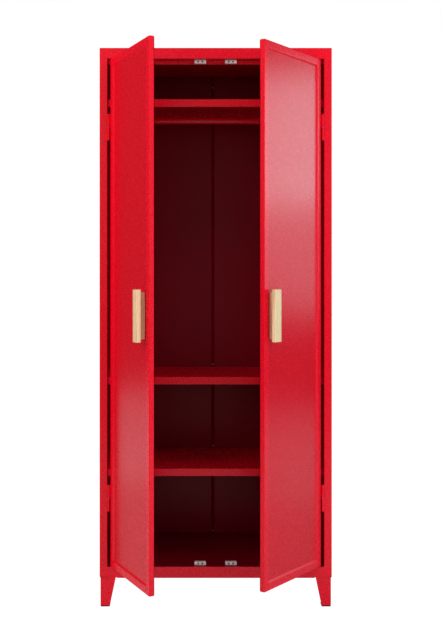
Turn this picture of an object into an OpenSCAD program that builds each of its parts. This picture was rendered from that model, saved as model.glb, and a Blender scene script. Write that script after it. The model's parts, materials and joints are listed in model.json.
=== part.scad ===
// School locker: a two-door folded-steel cabinet on four feet, with three shelves, a hanging rail,
// magnetic catches and wooden handles. Millimetres, +X right, +Y to the back, +Z up.
// The origin is on the floor, at the centre of the four feet. The doors are drawn part open.

/* [Cabinet] */
// Overall width, side to side
cabinet_w = 800; // [700:10:1000]
// Overall height, from the floor to the top
cabinet_h = 1925; // [1880:5:2000]
// Depth of the carcass, front face to back edge
cabinet_d = 490; // [400:10:600]
// Thickness of the folded sheet
sheet = 1; // [0.8:0.1:1.2]
// Inside radius of an ordinary fold
fold_r = 1.5; // [1:0.25:2]

/* [Front frame] */
// Width of each upright beside the doors
stile_w = 27; // [25:1:35]
// How far the uprights and the top rail turn back into the opening
frame_return = 38; // [38:1:42]
// Height of the rail above the doors
top_rail_h = 37; // [34:1:45]
// Height of the rail below the doors
bottom_rail_h = 39; // [36:1:45]
// Height of the lip that hangs at the back of the top rail
rail_lip_h = 11.5; // [8:0.5:14]

/* [Feet] */
// Height of the underside of the carcass above the floor
foot_h = 99; // [90:1:130]
// Width of a foot where it meets the carcass
foot_top_w = 52; // [49:1:56]
// Width of a foot at the floor
foot_bottom_w = 32; // [26:1:34]
// How far a foot's outer faces stand in from the carcass
foot_inset = 3; // [3:0.5:5]
// Thickness of the plastic glide under a foot
glide_t = 4; // [3:1:10]
// Radius of the floor-fixing hole through each foot
floor_hole_r = 4.5; // [3.5:0.5:5]

/* [Shelves and rail] */
// Top of the hat shelf above the floor
hat_shelf_z = 1757; // [1740:1:1770]
// Top of the middle shelf above the floor
middle_shelf_z = 788; // [700:1:900]
// Top of the lower shelf above the floor
lower_shelf_z = 468; // [350:1:560]
// Height of a shelf's front edge
shelf_lip_h = 27; // [22:1:32]
// Distance of the shelves' front edge behind the front face
shelf_setback = 45; // [45:1:60]
// Outside diameter of the hanging rail
rail_d = 25; // [20:1:26]
// Drop from the hat shelf's top to the centre of the hanging rail
rail_drop = 44; // [44:1:60]

/* [Doors] */
// Thickness of each door
door_t = 18; // [18:1:19]
// Width of the raised border round each door's panel
door_border = 24; // [20:1:30]
// Depth of the sunk panel below the border
panel_sunk = 5; // [3:0.5:6]
// Clear gap above and below the doors
door_gap_z = 3; // [2:0.5:5]
// Clear gap between the closed doors
centre_gap = 3; // [3:0.5:6]
// Angle that the left door stands open
left_open = 66; // [0:1:170]
// Angle that the right door stands open
right_open = 53.5; // [0:0.5:170]

/* [Hinges] */
// Height of each hinge
hinge_h = 91; // [60:1:120]
// Distance from a door's top or bottom edge to the middle of the nearer hinge
hinge_from_end = 234; // [150:2:350]
// Outside radius of the hinge knuckles
knuckle_r = 4.3; // [4.1:0.1:5]
// Radius of the hinge pins
pin_r = 2.5; // [2:0.1:2.7]

/* [Handles] */
// Height of the middle of the handles above the floor
handle_z = 1012; // [900:1:1150]
// Distance from the left door's free edge to the middle of its handle
left_handle_from_edge = 47; // [36:0.5:60]
// Distance from the right door's free edge to the middle of its handle
right_handle_from_edge = 36; // [36:0.5:60]
// Width of the handle's front bar
bar_w = 37; // [34:1:40]
// Thickness of the front bar
bar_t = 15; // [10:1:18]
// Height of the front bar
bar_h = 166; // [130:1:200]
// Width of the block between the bar and the door
spacer_w = 17; // [14:1:20]
// Height of that block
spacer_h = 148; // [110:1:170]
// Clear space behind the bar, down to the door's border
finger_room = 15; // [12:1:22]

/* [Catches] */
// Width of a magnetic catch
catch_w = 40; // [40:1:48]
// Height of a magnetic catch
catch_h = 11; // [11:0.5:13.5]
// Distance of the catches from the middle of the cabinet
catch_x = 53; // [35:1:90]

/* [Hidden] */

$fn = 48;
red_paint = [0.80, 0.09, 0.16];
inside_paint = [0.62, 0.06, 0.12];
beech = [0.90, 0.75, 0.56];
white_plastic = [0.92, 0.91, 0.90];
dark_plastic = [0.33, 0.04, 0.08];
zinc = [0.68, 0.69, 0.70];
LEFT = -1;
RIGHT = 1;

// Carcass planes
side_x = cabinet_w / 2;
front_y = -cabinet_d / 2;
back_y = cabinet_d / 2;
floor_z = foot_h + bottom_rail_h;
opening_top_z = cabinet_h - top_rail_h;
opening_x = side_x - stile_w;
cap_flange = 30;
cap_z = cabinet_h - cap_flange;
rear_flange = 20;
stile_lip = 12;
side_up = 4;
overlap = 1;

// Back panels: folded outwards to the rear, with a wider fold where they meet
back_fold_r = 7;
back_tray_d = 16.4;
back_corner_clear = 0.6;
back_face_y = back_y - 2 * sheet - back_corner_clear - back_tray_d;
back_side_clear = sheet + back_corner_clear;
clip_w = 8;
clip_h = 5;
clip_t = 1.2;

// Shelves and hanging rail
shelf_x = side_x - 2 * sheet;
shelf_front_y = front_y + shelf_setback;
shelf_back_y = back_face_y - 0.5;
shelf_rear_flange = 20;
shelf_lip_return = 12;
support_leg = 18;
rail_wall = 1.5;
rail_z = hat_shelf_z - rail_drop;
rail_y = -5;
socket_flange_t = 3;
socket_wall = 3.5;
socket_depth = 14;
socket_clear = 0.3;
socket_r = rail_d / 2 + socket_clear;
rivet_r = 2;
rivet_head_r = 3.5;
rivet_head_t = 1.5;
rivet_offset = socket_r + socket_wall + rivet_head_r + 0.4;
socket_flange_r = rivet_offset + rivet_head_r + 0.3;

// Feet and their bolts
foot_t = 2;
foot_top_z = floor_z - sheet;
foot_bolt_in = 36;
bolt_r = 3.8;
bolt_clear_r = 4.2;
bolt_head_af = 13;
bolt_head_t = 5;
bolt_nut_t = 6.5;
bolt_tip = 2.5;

// Hinges: the pin stands just in front of the frame and the doors
pin_x = opening_x - knuckle_r;
pin_front = knuckle_r + 0.2;
pin_y = front_y - pin_front;
knuckle_h = (hinge_h - 1) / 2;
washer_t = 0.6;
leaf_t = knuckle_r - pin_r;
leaf_clear = 2.2;
leaf_w = 20;
running_clear = 0.06;
pin_short = 2.5;

// Doors, drawn with x from the hinge edge, y back from the border's face and z from the bottom edge
door_w = pin_x - knuckle_r - centre_gap / 2;
door_z = floor_z + door_gap_z;
door_h = opening_top_z - door_gap_z - door_z;
door_lip = 14;
panel_corner_r = 4;
liner_border = 24;
liner_sunk = 3;
liner_inset = 1;
hinge_zs = [hinge_from_end, door_h - hinge_from_end];

// Handles
spacer_off = (bar_w - spacer_w) / 2 - 3;
handle_mid_z = handle_z - door_z;
bar_round = 3;
spacer_round = 2;
screw_r = 2.4;
screw_head_r = 4.8;
screw_head_t = 2.6;
screw_spacing = 96;
screw_bite = 8;
stiffener_web = 24;
stiffener_foot = 10;

// Catches and the strike plates that meet them
catch_front = 20.3;
catch_d = frame_return - catch_front - fold_r;
strike_w = 40;
strike_h = 13;
strike_t = 1.5;
strike_edge = 1.5;
strike_rivet_x = 14;
strike_rivet_r = 1.8;
pole_gap = 0.4;
pole_y = front_y + door_t + strike_t + pole_gap;
pole_x = 7.5;
pole_w = 5.5;
pole_t = 1.5;
pole_depth = 10;
magnet_t = 4;
catch_screw_x = 16;
catch_screw_y = front_y + catch_front + catch_d / 2;
catch_screw_r = 1.5;
catch_screw_head_r = 3;
catch_screw_head_t = 2;
catch_sink = 3;

// Sheet folding ------------------------------------------------------------------------------------

// What a bend takes off the straight length of the leg beside it
function bend_take(turn, t, r) = turn > 0 ? r + t : r;

// Straight length of leg i, between its bends
function leg_run(legs, turns, t, r, i) =
    legs[i]
    - (i > 0 ? bend_take(turns[i - 1], t, r) : 0)
    - (i < len(turns) ? bend_take(turns[i], t, r) : 0);

// A quarter of a bend's ring, starting at an angle
module bend(t, r, start) {
    rotate(start)
        intersection() {
            difference() {
                circle(r + t);
                circle(r);
            }
            square(r + t);
        }
}

// Section of a folded strip. legs are corner-to-corner lengths along its right-hand face,
// and turns are +1 for a bend to the left and -1 for a bend to the right.
module strip(legs, turns, t = sheet, r = fold_r, i = 0) {
    run = leg_run(legs, turns, t, r, i);
    square([run, t]);
    if (i < len(turns) && turns[i] > 0)
        translate([run, 0]) {
            translate([0, r + t]) bend(t, r, -90);
            translate([r + t, r + t]) rotate(90) strip(legs, turns, t, r, i + 1);
        }
    if (i < len(turns) && turns[i] < 0)
        translate([run, 0]) {
            translate([0, -r]) bend(t, r, 0);
            translate([r, -r]) rotate(-90) strip(legs, turns, t, r, i + 1);
        }
}

// A section drawn in Y and Z, run along X about the middle of the cabinet
module along_x(length) {
    translate([-length / 2, 0, 0])
        rotate([90, 0, 90])
            linear_extrude(length)
                children();
}

// A section drawn in X and Z, run along Y between two places
module along_y(from, to) {
    translate([0, to, 0])
        rotate([90, 0, 0])
            linear_extrude(to - from)
                children();
}

// A rectangle about the origin with round corners
module round_rect(w, h, r) {
    square([w - 2 * r, h], center = true);
    square([w, h - 2 * r], center = true);
    for (x = [-1, 1], y = [-1, 1])
        translate([x * (w / 2 - r), y * (h / 2 - r)]) circle(r);
}

// Draws the left-hand form, or its mirror image on the right
module sided(side) {
    if (side > 0)
        mirror([1, 0, 0]) children();
    else
        children();
}

// Carcass ------------------------------------------------------------------------------------------

// One side: rear flange, side, front upright, its return and its lip. Its lower edge stands a little above
// the bottom rail's.
module side_section(full) {
    legs = [rear_flange, cabinet_d, stile_w];
    translate([-side_x + rear_flange, back_y])
        rotate(180)
            if (full)
                strip(concat(legs, [frame_return, stile_lip]), [1, 1, 1, 1]);
            else
                strip(legs, [1, 1]);
}

module side_panel(side) {
    color(red_paint)
        sided(side)
            difference() {
                union() {
                    translate([0, 0, foot_h + side_up])
                        linear_extrude(bottom_rail_h - side_up)
                            side_section(false);
                    translate([0, 0, floor_z]) linear_extrude(cap_z - floor_z) side_section(true);
                    translate([0, 0, cap_z]) linear_extrude(cap_flange) side_section(false);
                }
                rail_rivet_places() cylinder(h = 4 * sheet, r = rivet_r, center = true);
            }
}

// The outer plan of the trays that close the top and the bottom, inside the sides
module tray_plan(inset) {
    round_rect(cabinet_w - 2 * sheet - 2 * inset, cabinet_d - 2 * sheet - 2 * inset, fold_r);
}

module top_panel() {
    color(red_paint)
        difference() {
            translate([0, 0, cap_z]) linear_extrude(cap_flange) tray_plan(0);
            translate([0, 0, cap_z - overlap])
                linear_extrude(cap_flange - sheet + overlap)
                    tray_plan(sheet);
        }
}

module top_rail() {
    color(red_paint)
        difference() {
            along_x(2 * opening_x)
                translate([front_y, cabinet_h])
                    rotate(-90)
                        strip([top_rail_h, frame_return, rail_lip_h], [1, -1]);
            for (x = [-catch_x, catch_x])
                catch_screw_places(x, opening_top_z)
                    cylinder(h = 4 * sheet, r = catch_screw_r, center = true);
        }
}

module bottom_panel() {
    skirt = bottom_rail_h - sheet - fold_r;
    color(inside_paint)
        difference() {
            translate([0, 0, floor_z - skirt]) linear_extrude(skirt) tray_plan(0);
            translate([0, 0, foot_h]) linear_extrude(bottom_rail_h - sheet) tray_plan(sheet);
            for (x = [-catch_x, catch_x])
                catch_screw_places(x, floor_z)
                    cylinder(h = 4 * sheet, r = catch_screw_r, center = true);
            foot_bolt_places() cylinder(h = 4 * sheet, r = bolt_clear_r, center = true);
        }
}

module bottom_rail() {
    flange_w = 2 * (side_x - foot_inset - foot_top_w - 5);
    color(red_paint) {
        along_x(flange_w)
            translate([front_y, floor_z])
                rotate(-90)
                    strip([bottom_rail_h, rear_flange], [1]);
        along_x(2 * opening_x)
            translate([front_y, foot_h + fold_r + sheet])
                square([sheet, bottom_rail_h - fold_r - sheet]);
    }
}

module back_panel(side) {
    w = side_x - sheet - back_side_clear;
    color(inside_paint)
        sided(side)
            translate([0, 0, floor_z])
                linear_extrude(cabinet_h - sheet - floor_z)
                    translate([-w, back_face_y + back_tray_d])
                        rotate(-90)
                            strip([back_tray_d, w, back_tray_d], [1, 1], sheet, back_fold_r);
}

// Small plates that tie the two halves of the back together
module seam_clips() {
    zs = [floor_z + 8, lower_shelf_z + 10, middle_shelf_z + 10, opening_top_z - 8];
    color(zinc)
        for (z = zs)
            translate([0, back_face_y, z])
                rotate([90, 0, 0])
                    linear_extrude(clip_t)
                        round_rect(clip_w, clip_h, 1.5);
}

// Shelves and hanging rail -------------------------------------------------------------------------

module shelf(z) {
    depth = shelf_back_y - shelf_front_y;
    color(red_paint)
        along_x(2 * shelf_x)
            translate([shelf_back_y, z - shelf_rear_flange])
                rotate(90)
                    strip([shelf_rear_flange, depth, shelf_lip_h, shelf_lip_return], [1, 1, 1]);
}

// The two angles that carry a shelf, one on each side
module shelf_supports(z) {
    front = shelf_front_y + shelf_lip_return + 4;
    back = shelf_back_y - 16;
    color(inside_paint)
        for (side = [LEFT, RIGHT])
            sided(side)
                along_y(front, back)
                    translate([-side_x + sheet + support_leg, z - sheet])
                        rotate(180)
                            strip([support_leg, support_leg], [1]);
}

module hanging_rail() {
    length = 2 * (side_x - sheet - socket_flange_t - 0.5);
    color(red_paint)
        along_x(length)
            translate([rail_y, rail_z])
                difference() {
                    circle(d = rail_d);
                    circle(d = rail_d - 2 * rail_wall);
                }
}

module rail_socket(side) {
    color(zinc)
        sided(side)
            translate([-side_x + sheet, rail_y, rail_z])
                rotate([0, 90, 0])
                    difference() {
                        union() {
                            cylinder(h = socket_flange_t, r = socket_flange_r);
                            cylinder(h = socket_flange_t + socket_depth, r = socket_r + socket_wall);
                        }
                        translate([0, 0, socket_flange_t])
                            cylinder(h = socket_depth + overlap, r = socket_r);
                        for (a = [0, 180])
                            rotate(a)
                                translate([rivet_offset, 0, -overlap])
                                    cylinder(h = socket_flange_t + 2 * overlap, r = rivet_r);
                    }
}

// Where the left-hand socket's rivets pass through the cabinet's side
module rail_rivet_places() {
    for (z = [-rivet_offset, rivet_offset])
        translate([-side_x, rail_y, rail_z + z])
            rotate([0, 90, 0])
                children();
}

module rail_rivets() {
    color(zinc)
        for (side = [LEFT, RIGHT])
            sided(side)
                rail_rivet_places() {
                    cylinder(h = sheet + socket_flange_t, r = rivet_r);
                    translate([0, 0, sheet + socket_flange_t]) cylinder(h = rivet_head_t, r = rivet_head_r);
                }
}

// Feet ---------------------------------------------------------------------------------------------

// Outline of one face of a foot, from its outer edge inwards
module foot_outline() {
    polygon([
        [0, glide_t],
        [foot_bottom_w, glide_t],
        [foot_top_w, foot_h],
        [foot_top_w, foot_top_z],
        [0, foot_top_z]
    ]);
}

// Draws a front left foot's parts from its outer corner, or turns them to another corner
module at_corner(side, end) {
    sided(side)
        mirror([0, end > 0 ? 1 : 0, 0])
            translate([-side_x + foot_inset, front_y + foot_inset, 0])
                children();
}

module foot(side, end) {
    color(red_paint)
        at_corner(side, end)
            difference() {
                union() {
                    translate([0, foot_t, 0]) rotate([90, 0, 0]) linear_extrude(foot_t) foot_outline();
                    rotate([90, 0, 90]) linear_extrude(foot_t) foot_outline();
                    translate([0, 0, glide_t]) cube([foot_bottom_w, foot_bottom_w, foot_t]);
                    translate([0, 0, foot_top_z - foot_t]) cube([foot_top_w, foot_top_w, foot_t]);
                }
                translate([foot_bottom_w / 2, foot_bottom_w / 2, glide_t + foot_t / 2])
                    cylinder(h = 2 * foot_t, r = floor_hole_r, center = true);
                translate([foot_bolt_in, foot_bolt_in, foot_top_z - foot_t / 2])
                    cylinder(h = 2 * foot_t, r = bolt_clear_r, center = true);
            }
}

module foot_glides() {
    color(dark_plastic)
        for (side = [LEFT, RIGHT], end = [-1, 1])
            at_corner(side, end)
                translate([foot_bottom_w / 2, foot_bottom_w / 2, 0])
                    linear_extrude(glide_t)
                        difference() {
                            round_rect(foot_bottom_w - 1, foot_bottom_w - 1, 3);
                            circle(floor_hole_r);
                        }
}

// Where the feet are bolted to the bottom panel
module foot_bolt_places() {
    for (side = [LEFT, RIGHT], end = [-1, 1])
        at_corner(side, end)
            translate([foot_bolt_in, foot_bolt_in, floor_z])
                children();
}

module foot_bolts() {
    shank = sheet + foot_t + bolt_nut_t + bolt_tip;
    color(zinc)
        foot_bolt_places() {
            translate([0, 0, -shank]) cylinder(h = shank, r = bolt_r);
            cylinder(h = bolt_head_t, d = bolt_head_af / cos(30), $fn = 6);
        }
}

module foot_nuts() {
    color(zinc)
        foot_bolt_places()
            translate([0, 0, -sheet - foot_t - bolt_nut_t])
                difference() {
                    cylinder(h = bolt_nut_t, d = bolt_head_af / cos(30), $fn = 6);
                    translate([0, 0, -overlap]) cylinder(h = bolt_nut_t + 2 * overlap, r = bolt_r);
                }
}

// Magnetic catches ---------------------------------------------------------------------------------

// Draws a catch that sits on the floor panel, or turned over to hang from the top rail
module at_catch(x, top) {
    translate([x, front_y, top ? opening_top_z : floor_z])
        mirror([0, 0, top ? 1 : 0])
            children();
}

module catch_screw_places(x, z) {
    for (dx = [-catch_screw_x, catch_screw_x])
        translate([x + dx, catch_screw_y, z])
            children();
}

module catch_housing(side, top) {
    mid_z = catch_h / 2;
    stack_h = magnet_t + 2 * pole_t;
    color(white_plastic)
        at_catch(side * catch_x, top)
            difference() {
                translate([0, catch_front + catch_d / 2, mid_z])
                    rotate([90, 0, 0])
                        linear_extrude(catch_d, center = true)
                            round_rect(catch_w, catch_h, 1.5);
                for (x = [-pole_x, pole_x])
                    translate([x - pole_w / 2, catch_front - overlap, mid_z - stack_h / 2])
                        cube([pole_w, pole_depth + overlap, stack_h]);
                for (dx = [-catch_screw_x, catch_screw_x])
                    translate([dx, catch_front + catch_d / 2, -overlap]) {
                        cylinder(h = catch_h + 2 * overlap, r = catch_screw_r);
                        translate([0, 0, catch_h - catch_sink + overlap])
                            cylinder(h = catch_sink + overlap, r = catch_screw_head_r + 0.3);
                    }
            }
}

// Repeats for the two magnets of each catch, with the origin beside the middle of the magnet's stack
module at_magnets() {
    for (side = [LEFT, RIGHT], top = [false, true], x = [-pole_x, pole_x])
        at_catch(side * catch_x, top)
            translate([x - pole_w / 2, 0, catch_h / 2])
                children();
}

module catch_magnets() {
    color([0.25, 0.25, 0.27])
        at_magnets()
            translate([0, catch_front, -magnet_t / 2])
                cube([pole_w, pole_depth, magnet_t]);
}

module catch_pole_plates() {
    stand_out = front_y + catch_front - pole_y;
    color(zinc)
        at_magnets()
            for (z = [-magnet_t / 2 - pole_t, magnet_t / 2])
                translate([0, catch_front - stand_out, z])
                    cube([pole_w, pole_depth + stand_out, pole_t]);
}

module catch_screws() {
    color(zinc)
        for (side = [LEFT, RIGHT], top = [false, true])
            at_catch(side * catch_x, top)
                for (dx = [-catch_screw_x, catch_screw_x])
                    translate([dx, catch_front + catch_d / 2, 0]) {
                        translate([0, 0, -sheet])
                            cylinder(h = catch_h - catch_sink + sheet, r = catch_screw_r);
                        translate([0, 0, catch_h - catch_sink])
                            cylinder(h = catch_screw_head_t, r = catch_screw_head_r);
                    }
}

// Hinges -------------------------------------------------------------------------------------------

// Moves to the left-hand pin, at the bottom of one hinge
module at_hinge(side, level) {
    sided(side)
        translate([-pin_x, pin_y, door_z + hinge_zs[level] - hinge_h / 2])
            children();
}

// A leaf about the pin: a rolled knuckle over part of its height, and a plate behind it
module leaf(knuckle_z, bore_r, plate_x) {
    plate_y = knuckle_r + leaf_clear;
    difference() {
        union() {
            translate([0, 0, knuckle_z]) cylinder(h = knuckle_h, r = knuckle_r);
            translate([plate_x, 0, knuckle_z]) cube([leaf_t, plate_y + overlap, knuckle_h]);
        }
        translate([0, 0, -overlap]) cylinder(h = hinge_h + 2 * overlap, r = bore_r);
    }
    translate([plate_x, plate_y, 0]) cube([leaf_t, leaf_w - plate_y, hinge_h]);
}

module frame_leaf(side, level) {
    color(red_paint)
        at_hinge(side, level)
            leaf(0, pin_r, -knuckle_r);
}

// Repeats for the four hinges
module every_hinge() {
    for (side = [LEFT, RIGHT], level = [0, 1])
        at_hinge(side, level)
            children();
}

module hinge_pins() {
    color(zinc)
        every_hinge() cylinder(h = hinge_h - pin_short, r = pin_r);
}

module hinge_washers() {
    color(white_plastic)
        every_hinge()
            translate([0, 0, knuckle_h])
                linear_extrude(washer_t)
                    difference() {
                        circle(knuckle_r);
                        circle(pin_r + running_clear);
                    }
}

// Doors --------------------------------------------------------------------------------------------

// Turns a left-hand door's parts about the pin to its open angle
module swing(side) {
    sided(side)
        translate([-pin_x, pin_y, 0])
            rotate(side < 0 ? -left_open : -right_open)
                children();
}

// The same, from the door's own corner
module on_door(side) {
    swing(side)
        translate([knuckle_r, pin_front, door_z])
            children();
}

// A block with the panel's outline, set in from the door's edges
module panel_block(inset, front, depth, corner_r) {
    translate([door_w / 2, front + depth, door_h / 2])
        rotate([90, 0, 0])
            linear_extrude(depth)
                round_rect(door_w - 2 * inset, door_h - 2 * inset, corner_r);
}

// Middle of a door's handle bar, and of the block behind it, which stands nearer the hinge
function bar_x(side) = door_w - (side < 0 ? left_handle_from_edge : right_handle_from_edge);
function spacer_x(side) = bar_x(side) - spacer_off;

// Where a door's two handle screws run, from its inner side outwards
module handle_screw_places(side, depth) {
    for (z = [-screw_spacing / 2, screw_spacing / 2])
        translate([spacer_x(side), depth, handle_mid_z + z])
            rotate([90, 0, 0])
                children();
}

// Where a door's four strike rivets run, from its inner side outwards
module strike_rivet_places() {
    for (z = [strike_edge + strike_h / 2, door_h - strike_edge - strike_h / 2], dx = [-1, 1])
        translate([door_w + centre_gap / 2 - catch_x + dx * strike_rivet_x, door_t + strike_t, z])
            rotate([90, 0, 0])
                children();
}

module door_skin(side) {
    wall_d = door_t - sheet;
    color(red_paint)
        on_door(side)
            difference() {
                cube([door_w, wall_d, door_h]);
                panel_block(door_border, -overlap, panel_sunk + overlap, panel_corner_r);
                difference() {
                    translate([sheet, sheet, sheet])
                        cube([door_w - 2 * sheet, wall_d - 2 * sheet, door_h - 2 * sheet]);
                    panel_block(door_border - sheet, 0, panel_sunk + sheet, panel_corner_r + sheet);
                }
                translate([door_lip, wall_d - 2 * sheet, door_lip])
                    cube([door_w - 2 * door_lip, 3 * sheet, door_h - 2 * door_lip]);
                handle_screw_places(side, door_t) cylinder(h = door_t, r = screw_r);
                strike_rivet_places() cylinder(h = strike_t + 3 * sheet, r = strike_rivet_r);
            }
}

module door_liner(side) {
    field_front = door_t - liner_sunk - sheet;
    dish = liner_border + sheet;
    color(inside_paint)
        on_door(side)
            difference() {
                union() {
                    panel_block(liner_inset, door_t - sheet, sheet, 2);
                    panel_block(liner_border, field_front, liner_sunk + sheet, panel_corner_r);
                }
                panel_block(dish, field_front + sheet, liner_sunk + overlap, panel_corner_r - sheet);
                handle_screw_places(side, door_t) cylinder(h = door_t, r = screw_r);
                strike_rivet_places() cylinder(h = strike_t + 3 * sheet, r = strike_rivet_r);
            }
}

// Hat-shaped channel between skin and liner, behind the handle
module door_stiffener(side) {
    web_front = panel_sunk + sheet;
    foot_front = door_t - liner_sunk - 2 * sheet;
    wall = foot_front - web_front;
    legs = [stiffener_foot, wall, stiffener_web, wall, stiffener_foot];
    end = 60;
    color(zinc)
        on_door(side)
            difference() {
                translate([spacer_x(side) - stiffener_web / 2 - stiffener_foot, foot_front, end])
                    linear_extrude(door_h - 2 * end)
                        strip(legs, [-1, 1, 1, -1], sheet, 1);
                handle_screw_places(side, door_t) cylinder(h = door_t, r = screw_r);
            }
}

// Section of a wooden piece, from one plane out to another, drawn about its middle height
module wood_block(x, w, near, far, h, r) {
    translate([x, -(near + far) / 2, handle_mid_z])
        linear_extrude(h, center = true)
            round_rect(w, far - near, r);
}

module handle_bar(side) {
    color(beech)
        on_door(side)
            difference() {
                wood_block(bar_x(side), bar_w, finger_room, finger_room + bar_t, bar_h, bar_round);
                handle_screw_places(side, 0) cylinder(h = finger_room + screw_bite, r = screw_r);
            }
}

module handle_spacer(side) {
    color(beech)
        on_door(side)
            difference() {
                wood_block(spacer_x(side), spacer_w, -panel_sunk, finger_room, spacer_h, spacer_round);
                handle_screw_places(side, 2 * panel_sunk)
                    cylinder(h = 2 * panel_sunk + finger_room + overlap, r = screw_r);
            }
}

module handle_screws(side) {
    head_face = door_t - liner_sunk;
    color(zinc)
        on_door(side) {
            handle_screw_places(side, head_face)
                cylinder(h = head_face + finger_room + screw_bite, r = screw_r);
            handle_screw_places(side, head_face + screw_head_t)
                cylinder(h = screw_head_t, r = screw_head_r);
        }
}

module door_leaf(side, level) {
    color(red_paint)
        swing(side)
            translate([0, 0, door_z + hinge_zs[level] - hinge_h / 2])
                leaf(hinge_h - knuckle_h, pin_r + running_clear, knuckle_r - leaf_t);
}

module strike_plates(side) {
    color(zinc)
        on_door(side)
            difference() {
                for (z = [strike_edge, door_h - strike_edge - strike_h])
                    translate([door_w + centre_gap / 2 - catch_x - strike_w / 2, door_t, z])
                        cube([strike_w, strike_t, strike_h]);
                strike_rivet_places() cylinder(h = 2 * strike_t, r = strike_rivet_r);
            }
}

module strike_rivets(side) {
    color(zinc)
        on_door(side)
            strike_rivet_places() cylinder(h = strike_t + 2 * sheet, r = strike_rivet_r);
}

// Nodes --------------------------------------------------------------------------------------------

side_panel(LEFT);  // side_panel_left
side_panel(RIGHT);  // side_panel_right
top_panel();
top_rail();
bottom_panel();
bottom_rail();
back_panel(LEFT);  // back_panel_left
back_panel(RIGHT);  // back_panel_right
seam_clips();
shelf(hat_shelf_z);  // hat_shelf
shelf(middle_shelf_z);  // middle_shelf
shelf(lower_shelf_z);  // lower_shelf
shelf_supports(hat_shelf_z);  // hat_shelf_supports
shelf_supports(middle_shelf_z);  // middle_shelf_supports
shelf_supports(lower_shelf_z);  // lower_shelf_supports
hanging_rail();
rail_socket(LEFT);  // rail_socket_left
rail_socket(RIGHT);  // rail_socket_right
rail_rivets();
foot(LEFT, -1);  // foot_front_left
foot(RIGHT, -1);  // foot_front_right
foot(LEFT, 1);  // foot_rear_left
foot(RIGHT, 1);  // foot_rear_right
foot_glides();
foot_bolts();
foot_nuts();
catch_housing(LEFT, true);  // catch_top_left
catch_housing(RIGHT, true);  // catch_top_right
catch_housing(LEFT, false);  // catch_bottom_left
catch_housing(RIGHT, false);  // catch_bottom_right
catch_magnets();
catch_pole_plates();
catch_screws();
frame_leaf(LEFT, 1);  // frame_leaf_upper_left
frame_leaf(LEFT, 0);  // frame_leaf_lower_left
frame_leaf(RIGHT, 1);  // frame_leaf_upper_right
frame_leaf(RIGHT, 0);  // frame_leaf_lower_right
hinge_pins();
hinge_washers();
door_skin(LEFT);  // left_door_skin
door_liner(LEFT);  // left_door_liner
door_stiffener(LEFT);  // left_door_stiffener
handle_bar(LEFT);  // left_handle_bar
handle_spacer(LEFT);  // left_handle_spacer
handle_screws(LEFT);  // left_handle_screws
door_leaf(LEFT, 1);  // left_door_leaf_upper
door_leaf(LEFT, 0);  // left_door_leaf_lower
strike_plates(LEFT);  // left_strike_plates
strike_rivets(LEFT);  // left_strike_rivets
door_skin(RIGHT);  // right_door_skin
door_liner(RIGHT);  // right_door_liner
door_stiffener(RIGHT);  // right_door_stiffener
handle_bar(RIGHT);  // right_handle_bar
handle_spacer(RIGHT);  // right_handle_spacer
handle_screws(RIGHT);  // right_handle_screws
door_leaf(RIGHT, 1);  // right_door_leaf_upper
door_leaf(RIGHT, 0);  // right_door_leaf_lower
strike_plates(RIGHT);  // right_strike_plates
strike_rivets(RIGHT);  // right_strike_rivets
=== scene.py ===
"""A red two-door steel locker with its doors part open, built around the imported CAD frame.

Metres, +X right, +Y to the back, +Z up, as in the CAD model. The doors' pressed sheets and liners are built
here; the rest are the CAD's own solids with softened edges. Every node and piece gets a procedural material.
"""

import json
import math

import bmesh
import bpy
from mathutils import Matrix, Vector


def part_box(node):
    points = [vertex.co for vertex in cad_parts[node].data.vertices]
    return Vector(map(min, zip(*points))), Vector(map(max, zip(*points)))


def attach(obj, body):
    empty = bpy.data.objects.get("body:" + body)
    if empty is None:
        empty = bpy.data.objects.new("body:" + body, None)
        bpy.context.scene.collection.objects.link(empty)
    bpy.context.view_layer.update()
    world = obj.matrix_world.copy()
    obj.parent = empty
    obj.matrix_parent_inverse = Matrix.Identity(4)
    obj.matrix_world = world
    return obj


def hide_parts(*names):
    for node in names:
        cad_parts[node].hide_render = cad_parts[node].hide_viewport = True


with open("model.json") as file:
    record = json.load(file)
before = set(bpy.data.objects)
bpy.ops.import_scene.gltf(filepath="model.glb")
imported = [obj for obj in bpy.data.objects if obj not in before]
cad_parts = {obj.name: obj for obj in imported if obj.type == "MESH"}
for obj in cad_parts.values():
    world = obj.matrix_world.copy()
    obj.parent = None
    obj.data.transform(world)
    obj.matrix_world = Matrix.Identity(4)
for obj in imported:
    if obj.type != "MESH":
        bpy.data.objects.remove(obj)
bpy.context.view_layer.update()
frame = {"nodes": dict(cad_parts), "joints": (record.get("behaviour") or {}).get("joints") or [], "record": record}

MM = 0.001
SIDES = {"left": 1, "right": -1}
JOINTS = {joint["name"]: joint for joint in frame["joints"]}


# Camera and light --------------------------------------------------------------------------------

CAMERA_PLACE = (-0.081, -3.669, 1.1155)
CAMERA_LENS = 56.80
CAMERA_SENSOR = 36.0
CAMERA_SHIFT = (0.0457, -0.0508)
FLOOR_HALF = 30.0

PLAIN = (1.0, 1.0, 1.0)
COOL = (0.60, 0.95, 1.0)
WARM = (1.0, 0.80, 0.78)

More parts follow.
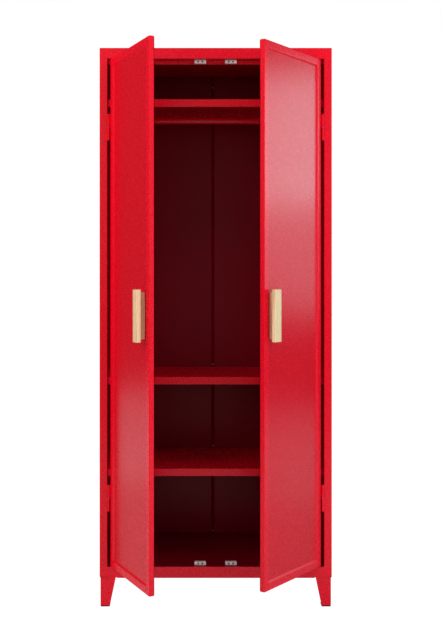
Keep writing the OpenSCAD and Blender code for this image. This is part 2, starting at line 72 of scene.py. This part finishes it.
# All of these but front_box stand where the candidate lamps of a least-squares fit to the photo's colours
# stood. The fit chose among them and gave the first powers. Some powers were changed since.
# Only the lamps with glow in their name show in gloss.
# name: (where it stands, what it points at, width, height, watts, tint)
LIGHTS = {
    "left_side_box": ((-3.15, -0.86, 2.3), (0.0, -0.3, 1.15), 2.2, 2.4, 76.0, PLAIN),
    "left_front_box": ((-1.2, -3.27, 2.3), (0.0, -0.3, 1.15), 1.8, 2.0, 28.0, WARM),
    "right_front_box": ((1.84, -2.92, 2.3), (0.0, -0.3, 1.15), 2.2, 2.4, 40.0, PLAIN),
    "low_right_box": ((2.45, -2.36, 0.8), (0.0, -0.3, 1.15), 1.2, 1.6, 38.0, COOL),
    "high_box": ((0.0, -1.6, 3.6), (0.0, -0.2, 1.4), 2.0, 0.9, 20.0, PLAIN),
    "low_front_box": ((0.0, -3.0, 0.4), (0.0, -0.2, 1.0), 1.6, 0.6, 1.5, PLAIN),
    "front_box": ((0.0, -4.4, 1.4), (0.0, -0.2, 1.1), 1.2, 1.0, 9.0, PLAIN),
    "right_glow_high": ((2.15, 0.35, 1.9), (0.25, -0.40, 1.35), 0.9, 0.7, 8.3, COOL),
    "right_glow": ((2.15, 0.35, 1.3), (0.25, -0.40, 1.35), 0.9, 0.7, 3.8, COOL),
    "right_floor_glow": ((2.0, 0.35, 0.2), (0.26, -0.39, 0.5), 1.0, 0.5, 1.3, COOL),
    "left_floor_glow": ((-1.9, 1.4, 0.25), (-0.29, -0.41, 0.5), 1.2, 0.5, 1.3, COOL),
}
ROOM_LIGHT = 0.10
PAPER_GREY = (0.8, 0.8, 0.8, 1)
SHADOW_GREY = (0.12, 0.12, 0.12, 1)
WHITE = (1, 1, 1, 1)
DISPLAY_GAMMA = 0.85


def add_camera():
    data = bpy.data.cameras.new("camera")
    data.lens = CAMERA_LENS
    data.sensor_width = CAMERA_SENSOR
    data.shift_x, data.shift_y = CAMERA_SHIFT
    camera = bpy.data.objects.new("camera", data)
    camera.location = CAMERA_PLACE
    camera.rotation_euler = (math.radians(90), 0, 0)
    bpy.context.scene.collection.objects.link(camera)
    bpy.context.scene.camera = camera


def add_lights():
    for name, (place, target, width, height, watts, tint) in LIGHTS.items():
        data = bpy.data.lights.new(name, "AREA")
        data.shape = "RECTANGLE"
        data.size, data.size_y = width, height
        data.energy = watts
        data.color = tint
        lamp = bpy.data.objects.new(name, data)
        lamp.location = place
        aim = Vector(target) - Vector(place)
        lamp.rotation_euler = aim.to_track_quat("-Z", "Y").to_euler()
        lamp.visible_camera = False
        lamp.visible_glossy = "glow" in name
        bpy.context.scene.collection.objects.link(lamp)


def seen_by_camera(tree, seen, unseen):
    """One shader for what the camera sees directly, and another for every other ray."""
    mix = tree.nodes.new("ShaderNodeMixShader")
    path = tree.nodes.new("ShaderNodeLightPath")
    tree.links.new(path.outputs["Is Camera Ray"], mix.inputs[0])
    tree.links.new(unseen, mix.inputs[1])
    tree.links.new(seen, mix.inputs[2])
    return mix.outputs[0]


def add_world():
    """White where the camera looks past the object, and a dim even room for every other ray."""
    world = bpy.data.worlds.new("studio")
    bpy.context.scene.world = world
    world.use_nodes = True
    tree = world.node_tree
    tree.nodes.clear()
    out = tree.nodes.new("ShaderNodeOutputWorld")
    backgrounds = []
    for strength in (1.0, ROOM_LIGHT):
        background = tree.nodes.new("ShaderNodeBackground")
        background.inputs["Color"].default_value = WHITE
        background.inputs["Strength"].default_value = strength
        backgrounds.append(background.outputs[0])
    tree.links.new(seen_by_camera(tree, *backgrounds), out.inputs["Surface"])


def add_floor():
    """A floor of pale paper. It glows white for the camera only, so it shows almost no shadow."""
    mesh = bpy.data.meshes.new("floor")
    half = FLOOR_HALF
    corners = [(-half, -half, 0), (half, -half, 0), (half, half, 0), (-half, half, 0)]
    mesh.from_pydata(corners, [], [(0, 1, 2, 3)])
    floor = bpy.data.objects.new("floor", mesh)
    bpy.context.scene.collection.objects.link(floor)
    material = bpy.data.materials.new("floor_paper")
    material.use_nodes = True
    tree = material.node_tree
    tree.nodes.clear()
    out = tree.nodes.new("ShaderNodeOutputMaterial")
    paper = tree.nodes.new("ShaderNodeBsdfDiffuse")
    paper.inputs["Color"].default_value = PAPER_GREY
    faint = tree.nodes.new("ShaderNodeBsdfDiffuse")
    faint.inputs["Color"].default_value = SHADOW_GREY
    glow = tree.nodes.new("ShaderNodeEmission")
    glow.inputs["Strength"].default_value = 1.0
    both = tree.nodes.new("ShaderNodeAddShader")
    tree.links.new(faint.outputs[0], both.inputs[0])
    tree.links.new(glow.outputs[0], both.inputs[1])
    tree.links.new(seen_by_camera(tree, both.outputs[0], paper.outputs[0]), out.inputs["Surface"])
    mesh.materials.append(material)


# Materials ---------------------------------------------------------------------------------------

PEEL_DEPTH = 0.003 * MM
SCRATCH_DEPTH = 0.04 * MM
SPARK_DEPTH = 0.05 * MM
RIDGE_DEPTH = 0.08 * MM
PORE_DEPTH = 0.10 * MM


class Recipe:
    """A node material in the making: a Principled shader with textures in the object's own space."""

    def __init__(self, name, **values):
        self.material = bpy.data.materials.new(name)
        self.material.use_nodes = True
        self.tree = self.material.node_tree
        self.tree.nodes.clear()
        out = self.tree.nodes.new("ShaderNodeOutputMaterial")
        self.shader = self.tree.nodes.new("ShaderNodeBsdfPrincipled")
        self.link(self.shader.outputs["BSDF"], out.inputs["Surface"])
        self.place = self.tree.nodes.new("ShaderNodeTexCoord").outputs["Object"]
        for socket, value in values.items():
            self.shader.inputs[socket.replace("_", " ")].default_value = value

    def link(self, source, target):
        self.tree.links.new(source, target)

    def moved(self, offset=(0, 0, 0), scale=(1, 1, 1)):
        """The object's own coordinates, shifted and then stretched."""
        shift = self.tree.nodes.new("ShaderNodeMapping")
        shift.vector_type = "POINT"
        shift.inputs["Location"].default_value = [-o * s for o, s in zip(offset, scale)]
        shift.inputs["Scale"].default_value = scale
        self.link(self.place, shift.inputs["Vector"])
        return shift.outputs["Vector"]

    def noise(self, scale, detail, rough=0.5, place=None):
        """Noise of a scale in waves per metre, or per metre of the stretched place."""
        texture = self.tree.nodes.new("ShaderNodeTexNoise")
        texture.inputs["Scale"].default_value = scale
        texture.inputs["Detail"].default_value = detail
        texture.inputs["Roughness"].default_value = rough
        self.link(place or self.place, texture.inputs["Vector"])
        return texture.outputs["Fac"]

    def span(self, value, low, high, from_low=0.0, from_high=1.0):
        """value, mapped from one range to another."""
        mapped = self.tree.nodes.new("ShaderNodeMapRange")
        limits = {"From Min": from_low, "From Max": from_high, "To Min": low, "To Max": high}
        for socket, number in limits.items():
            mapped.inputs[socket].default_value = number
        self.link(value, mapped.inputs["Value"])
        return mapped.outputs["Result"]

    def math(self, operation, first, second):
        node = self.tree.nodes.new("ShaderNodeMath")
        node.operation = operation
        for socket, value in zip(node.inputs, (first, second)):
            if isinstance(value, (int, float)):
                socket.default_value = value
            else:
                self.link(value, socket)
        return node.outputs["Value"]

    def mix(self, factor, first, second):
        """Two colours, or a colour and a socket, mixed by a texture."""
        node = self.tree.nodes.new("ShaderNodeMix")
        node.data_type = "RGBA"
        self.link(factor, node.inputs[0])
        for socket, value in zip((node.inputs[6], node.inputs[7]), (first, second)):
            if isinstance(value, tuple):
                socket.default_value = (*value, 1)
            else:
                self.link(value, socket)
        return node.outputs[2]

    def bump(self, height, distance, under=None):
        """Fine relief of a depth in metres, on top of another bump where there is one."""
        node = self.tree.nodes.new("ShaderNodeBump")
        node.inputs["Distance"].default_value = distance
        node.inputs["Strength"].default_value = 1.0
        self.link(height, node.inputs["Height"])
        if under is not None:
            self.link(under, node.inputs["Normal"])
        return node.outputs["Normal"]

    def finish(self, colour, roughness, normal=None):
        for socket, value in (("Base Color", colour), ("Roughness", roughness), ("Normal", normal)):
            if value is not None:
                self.link(value, self.shader.inputs[socket])
        return self.material


def powder_coat(name, deep, bright, rough_low, rough_high, shine=1.5):
    """Satin powder coat on thin sheet: a fine orange peel, with a slight grain in its tone and gloss."""
    coat = Recipe(name, IOR=shine)
    speckle = coat.span(coat.noise(160.0, 2.0), 0.0, 1.0, 0.2, 0.8)
    grain = coat.span(coat.noise(1500.0, 1.0), 0.0, 1.0, 0.2, 0.8)
    tone = coat.math("ADD", coat.math("MULTIPLY", speckle, 0.5), coat.math("MULTIPLY", grain, 0.5))
    colour = coat.mix(tone, deep, bright)
    roughness = coat.span(coat.noise(240.0, 1.0), rough_low, rough_high, 0.2, 0.8)
    peel = coat.bump(coat.noise(420.0, 2.0), PEEL_DEPTH)
    return coat.finish(colour, roughness, peel)


def plated_steel(name):
    """Zinc plate: a patchy spangle and short brushed scratches."""
    plate = Recipe(name, Metallic=0.7)
    patches = plate.noise(140.0, 3.0, 0.6)
    colour = plate.mix(patches, (0.46, 0.47, 0.50), (0.72, 0.72, 0.70))
    scratches = plate.noise(1.0, 2.0, place=plate.moved(scale=(260.0, 260.0, 2600.0)))
    roughness = plate.span(plate.noise(60.0, 3.0), 0.26, 0.48, 0.3, 0.7)
    return plate.finish(colour, roughness, plate.bump(scratches, SCRATCH_DEPTH))


def moulded_plastic(name, deep, bright, rough_low, rough_high):
    """Moulded plastic with a fine spark-eroded texture."""
    plastic = Recipe(name, IOR=1.46)
    colour = plastic.mix(plastic.noise(90.0, 3.0), deep, bright)
    roughness = plastic.span(plastic.noise(200.0, 2.0), rough_low, rough_high, 0.3, 0.7)
    return plastic.finish(colour, roughness, plastic.bump(plastic.noise(1800.0, 2.0), SPARK_DEPTH))


def ferrite(name):
    """Sintered magnet: dark grey with a coarse grain."""
    magnet = Recipe(name, Metallic=0.3)
    colour = magnet.mix(magnet.noise(900.0, 4.0), (0.025, 0.025, 0.028), (0.09, 0.09, 0.095))
    return magnet.finish(colour, magnet.span(magnet.noise(300.0, 3.0), 0.4, 0.7, 0.3, 0.7))


def oiled_wood(name, heart):
    """Pale beech with upright grain. Its growth rings are centred on an upright line through heart, so the
    ends show arcs and the sides show long stripes."""
    wood = Recipe(name, IOR=1.45)
    place = wood.moved(offset=heart)
    wander = wood.noise(1.0, 2.0, place=wood.moved(offset=heart, scale=(28.0, 28.0, 3.0)))
    split = wood.tree.nodes.new("ShaderNodeSeparateXYZ")
    wood.link(place, split.inputs[0])
    across = wood.math("POWER", split.outputs["X"], 2.0)
    along = wood.math("POWER", split.outputs["Y"], 2.0)
    radius = wood.math("SQRT", wood.math("ADD", across, along), 0.0)
    ring_radius = wood.math("ADD", radius, wood.math("MULTIPLY", wander, 0.012))
    rings = wood.math("SINE", wood.math("MULTIPLY", ring_radius, 1500.0), 0.0)
    bands = wood.span(rings, 0.0, 1.0, -1.0, 1.0)
    fibres = wood.noise(1.0, 4.0, 0.65, place=wood.moved(offset=heart, scale=(900.0, 900.0, 22.0)))
    specks = wood.noise(1.0, 1.0, place=wood.moved(offset=heart, scale=(1700.0, 1700.0, 60.0)))
    pores = wood.span(specks, 1.0, 0.0, 0.28, 0.42)
    base = wood.mix(bands, (0.82, 0.60, 0.38), (0.66, 0.44, 0.25))
    streaked = wood.mix(wood.span(fibres, 0.0, 0.6, 0.35, 0.75), base, (0.88, 0.70, 0.48))
    colour = wood.mix(wood.math("MULTIPLY", pores, 0.45), streaked, (0.30, 0.16, 0.08))
    roughness = wood.span(fibres, 0.46, 0.62, 0.3, 0.7)
    ridges = wood.bump(fibres, RIDGE_DEPTH)
    return wood.finish(colour, roughness, wood.bump(pores, -PORE_DEPTH, under=ridges))


# The doors' pressed sheets -----------------------------------------------------------------------

ARC_STEPS = 5
CORNER_STEPS = 6
SHEET = 1.0 * MM
FOLD = 2.0 * MM
DOOR_DEPTH = 18.0 * MM
LIP = 14.0 * MM
BORDER = 24.0 * MM
SUNK = 5.0 * MM
PRESS_SOFT = 1.8 * MM
PRESS_RUN = 6.0 * MM
PRESS_CORNER = 6.0 * MM
LINER_EDGE = 1.0 * MM
LINER_BORDER = 24.0 * MM
LINER_SUNK = 3.0 * MM
LEAST_CORNER = 0.2 * MM


def door_space(side):
    """From a closed door's own space to the frame at rest: x from the pin to the free edge, y back, z up."""
    joint = JOINTS[side + "_door_hinge"]
    opened = math.radians(-joint["range_deg"][0])
    out = SIDES[side]
    across = (out * math.cos(opened), -math.sin(opened), 0)
    back = (out * math.sin(opened), math.cos(opened), 0)
    pin = Vector(joint["pos_m"])
    turn = Matrix((across, back, (0, 0, 1))).transposed().to_4x4()
    return Matrix.Translation((pin.x, pin.y, 0)) @ turn


def span_in(space, node):
    """Lowest and highest corner of a CAD node in a door's space."""
    inverse = space.inverted()
    points = [inverse @ vertex.co for vertex in frame["nodes"][node].data.vertices]
    return (Vector(tuple(pick(p[i] for p in points) for i in range(3))) for pick in (min, max))


def arc(centre, radius, start, end, steps=ARC_STEPS):
    """Points of an arc from one angle to another, in degrees."""
    turns = [math.radians(start + (end - start) * i / steps) for i in range(steps + 1)]
    return [(centre[0] + radius * math.cos(a), centre[1] + radius * math.sin(a)) for a in turns]


def step_down(start, top, bottom):
    """A pressed step from one depth to another: round over the edge, down a steep slope and out again."""
    drop = 1 if bottom > top else -1
    turn = math.atan2(abs(bottom - top), PRESS_RUN)
    reach = PRESS_SOFT * math.sin(turn)
    dip = PRESS_SOFT * (1 - math.cos(turn))
    end = start + 2 * reach + (abs(bottom - top) - 2 * dip) / math.tan(turn)
    degrees = math.degrees(turn)
    over = arc((start, top + drop * PRESS_SOFT), PRESS_SOFT, -drop * 90, -drop * (90 - degrees))
    under = arc((end, bottom - drop * PRESS_SOFT), PRESS_SOFT, drop * (90 + degrees), drop * 90)
    return over + under


def beside(path, distance):
    """The path moved sideways to its left, as the other face of a sheet."""
    moved = []
    for i, point in enumerate(path):
        here = Vector(point)
        before = here - Vector(path[i - 1]) if i > 0 else None
        after = Vector(path[i + 1]) - here if i < len(path) - 1 else before
        before = (before or after).normalized()
        way = (before + after.normalized()).normalized()
        moved.append(here + Vector((-way.y, way.x)) * distance / way.dot(before))
    return moved


def ring(low, high, inset, depth, corner):
    """A round-cornered rectangle, set in from a door's outline, at a depth."""
    left, right = low.x + inset + corner, high.x - inset - corner
    bottom, top = low.z + inset + corner, high.z - inset - corner
    points = []
    for quarter, centre in enumerate([(right, top), (left, top), (left, bottom), (right, bottom)]):
        points += arc(centre, corner, 90 * quarter, 90 * quarter + 90, CORNER_STEPS)
    return [Vector((x, low.y + depth, z)) for x, z in points]


def pressed_sheet(name, side, path, thickness, edge_corner, paints, field_from=math.inf):
    """A sheet pressed into a tray, with the outline of the door's skin. path runs inwards from the rim as
    (inset, depth) along one face, and the other face lies thickness to its left. The first paint covers it,
    or the second one from the inset field_from inwards."""
    space = door_space(side)
    low, high = span_in(space, side + "_door_skin")
    border = path[-1][0]

    def corner(inset):
        pressed = PRESS_CORNER - abs(border - inset) / 2 if inset > border / 2 else 0
        return max(edge_corner - inset, LEAST_CORNER, pressed)

    sheet = bmesh.new()
    around = path + beside(path, thickness)[::-1]
    rings = []
    for inset, depth in around:
        points = ring(low, high, inset, depth, corner(inset))
        rings.append([sheet.verts.new(space @ p) for p in points])
    middle = len(path) - 1
    for i, band in enumerate(rings):
        if i == middle:
            continue
        after = (i + 1) % len(rings)
        paint = 1 if min(around[i][0], around[after][0]) >= field_from else 0
        for j in range(len(band)):
            k = (j + 1) % len(band)
            sheet.faces.new((band[j], band[k], rings[after][k], rings[after][j])).material_index = paint
    for band in (rings[middle], rings[middle + 1]):
        sheet.faces.new(band).material_index = len(paints) - 1
    bmesh.ops.recalc_face_normals(sheet, faces=sheet.faces)
    mesh = bpy.data.meshes.new(name)
    sheet.to_mesh(mesh)
    sheet.free()
    for paint in paints:
        mesh.materials.append(paint)
    for face in mesh.polygons:
        face.use_smooth = True
    piece = bpy.data.objects.new(name, mesh)
    bpy.context.scene.collection.objects.link(piece)
    piece.modifiers.new("even_normals", "WEIGHTED_NORMAL")
    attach(piece, side + "_door")
    return piece


def door_skin(side, border_paint, painted_shade_field):
    """A door's outer sheet: back lip, fold, edge, fold, raised border, step and sunk panel."""
    depth = DOOR_DEPTH - SHEET
    back = arc((FOLD, depth - FOLD), FOLD, 90, 180)
    front = arc((FOLD, FOLD), FOLD, 180, 270)
    step = step_down(BORDER - PRESS_SOFT / 2, 0.0, SUNK)
    path = [(LIP, depth), *back, *front, *step, (step[-1][0] + BORDER / 2, SUNK)]
    # The sunk field gets the darker red, painted shade; the border gets the plain red.
    paints = (border_paint, painted_shade_field)
    piece = pressed_sheet(side + "_door_pressing", side, path, SHEET, FOLD, paints, step[-1][0])
    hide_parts(side + "_door_skin")


def door_liner(side, paint):
    """A door's inner sheet, with a shallow sunk field."""
    field = DOOR_DEPTH - LINER_SUNK
    step = step_down(LINER_BORDER, DOOR_DEPTH, field)
    path = [(LINER_EDGE, DOOR_DEPTH), *step, (step[-1][0] + BORDER / 2, field)]
    piece = pressed_sheet(side + "_door_lining", side, path, -SHEET, LINER_EDGE + FOLD, (paint,))
    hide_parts(side + "_door_liner")


# The CAD's own solids ----------------------------------------------------------------------------

EDGE = {"handle_wood": 1.3 * MM, "catch_plastic": 0.7 * MM, "glide_plastic": 0.8 * MM, "zinc": 0.25 * MM}
EDGE_USUAL = 0.3 * MM
EDGE_SEGMENTS = 3
SHARP_FROM = 35.0
FLAT_WITHIN = 0.5
WELD_WITHIN = 0.005 * MM
WOOD_HEART = (0.035, 0.060, 0.0)


def soften(node, width):
    """Joins the solid's split vertices, then rounds its sharp edges a little."""
    weld = node.modifiers.new("weld", "WELD")
    weld.merge_threshold = WELD_WITHIN
    planar = node.modifiers.new("planar", "DECIMATE")
    planar.decimate_type = "DISSOLVE"
    planar.angle_limit = math.radians(FLAT_WITHIN)
    edges = node.modifiers.new("edges", "BEVEL")
    edges.width = width
    edges.segments = EDGE_SEGMENTS
    edges.limit_method = "ANGLE"
    edges.angle_limit = math.radians(SHARP_FROM)
    node.modifiers.new("even_normals", "WEIGHTED_NORMAL")
    for face in node.data.polygons:
        face.use_smooth = True


def paint_nodes(coats):
    """Gives each CAD node its finish. The wood is made for each node, as its rings need a centre."""
    for part in frame["record"]["subparts"]:
        name, slot = part["node"], part["material_slot"]
        node = frame["nodes"][name]
        node.data.materials.clear()
        if slot == "handle_wood":
            low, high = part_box(name)
            heart = (low + high) / 2 + Vector(WOOD_HEART)
            node.data.materials.append(oiled_wood(name + "_beech", heart))
        else:
            node.data.materials.append(coats[slot])
        soften(node, EDGE.get(slot, EDGE_USUAL))


# Putting it together -----------------------------------------------------------------------------

# One red paint. The field, lining and inner tones stand in for shade that the lamps don't give.
RED_DEEP = (0.74, 0.0016, 0.020)
RED_BRIGHT = (0.77, 0.0026, 0.026)
# The doors' sunk field: the red made darker, painted shade.
FIELD_SHADE_DEEP = (0.63, 0.0016, 0.016)
FIELD_SHADE_BRIGHT = (0.66, 0.0026, 0.020)
# The doors' inner sheets: the red made darker, painted shade.
LINING_SHADE_DEEP = (0.44, 0.0014, 0.014)
LINING_SHADE_BRIGHT = (0.49, 0.0022, 0.020)
# The inside: the red made much darker, painted shade, on every face of these nodes.
INNER_SHADE_DEEP = (0.24, 0.0006, 0.012)
INNER_SHADE_BRIGHT = (0.28, 0.0010, 0.018)
WHITE_DEEP, WHITE_BRIGHT = (0.86, 0.86, 0.84), (0.93, 0.93, 0.92)
NYLON_DEEP, NYLON_BRIGHT = (0.62, 0.61, 0.58), (0.74, 0.73, 0.70)
GLIDE_DEEP, GLIDE_BRIGHT = (0.055, 0.004, 0.008), (0.085, 0.006, 0.012)


def finishes():
    """One material for each of the CAD's slots but the wood, and two more for the doors' pressed sheets."""
    return {
        "red_paint": powder_coat("red_powder_coat", RED_DEEP, RED_BRIGHT, 0.25, 0.29),
        "painted_shade_field": powder_coat("field_coat_painted_shade", FIELD_SHADE_DEEP, FIELD_SHADE_BRIGHT, 0.25, 0.29),
        "painted_shade_lining": powder_coat("lining_coat_painted_shade", LINING_SHADE_DEEP, LINING_SHADE_BRIGHT, 0.28, 0.36),
        # The inside_paint slot gets the much darker red: painted shade for the inside.
        "inside_paint": powder_coat("inner_coat_painted_shade", INNER_SHADE_DEEP, INNER_SHADE_BRIGHT, 0.28, 0.36, 1.3),
        "zinc": plated_steel("zinc_plate"),
        "catch_plastic": moulded_plastic("white_plastic", WHITE_DEEP, WHITE_BRIGHT, 0.35, 0.5),
        "washer_plastic": moulded_plastic("washer_plastic", NYLON_DEEP, NYLON_BRIGHT, 0.35, 0.5),
        "glide_plastic": moulded_plastic("glide_plastic", GLIDE_DEEP, GLIDE_BRIGHT, 0.4, 0.6),
        "magnet": ferrite("ferrite"),
    }


add_camera()
add_world()
add_lights()
add_floor()
coats = finishes()
paint_nodes(coats)
for side in SIDES:
    door_skin(side, coats["red_paint"], coats["painted_shade_field"])
    # The lining gets the darker red, painted shade.
    door_liner(side, coats["painted_shade_lining"])

view = bpy.context.scene.view_settings
view.view_transform = "Standard"
view.look = "None"
view.gamma = DISPLAY_GAMMA
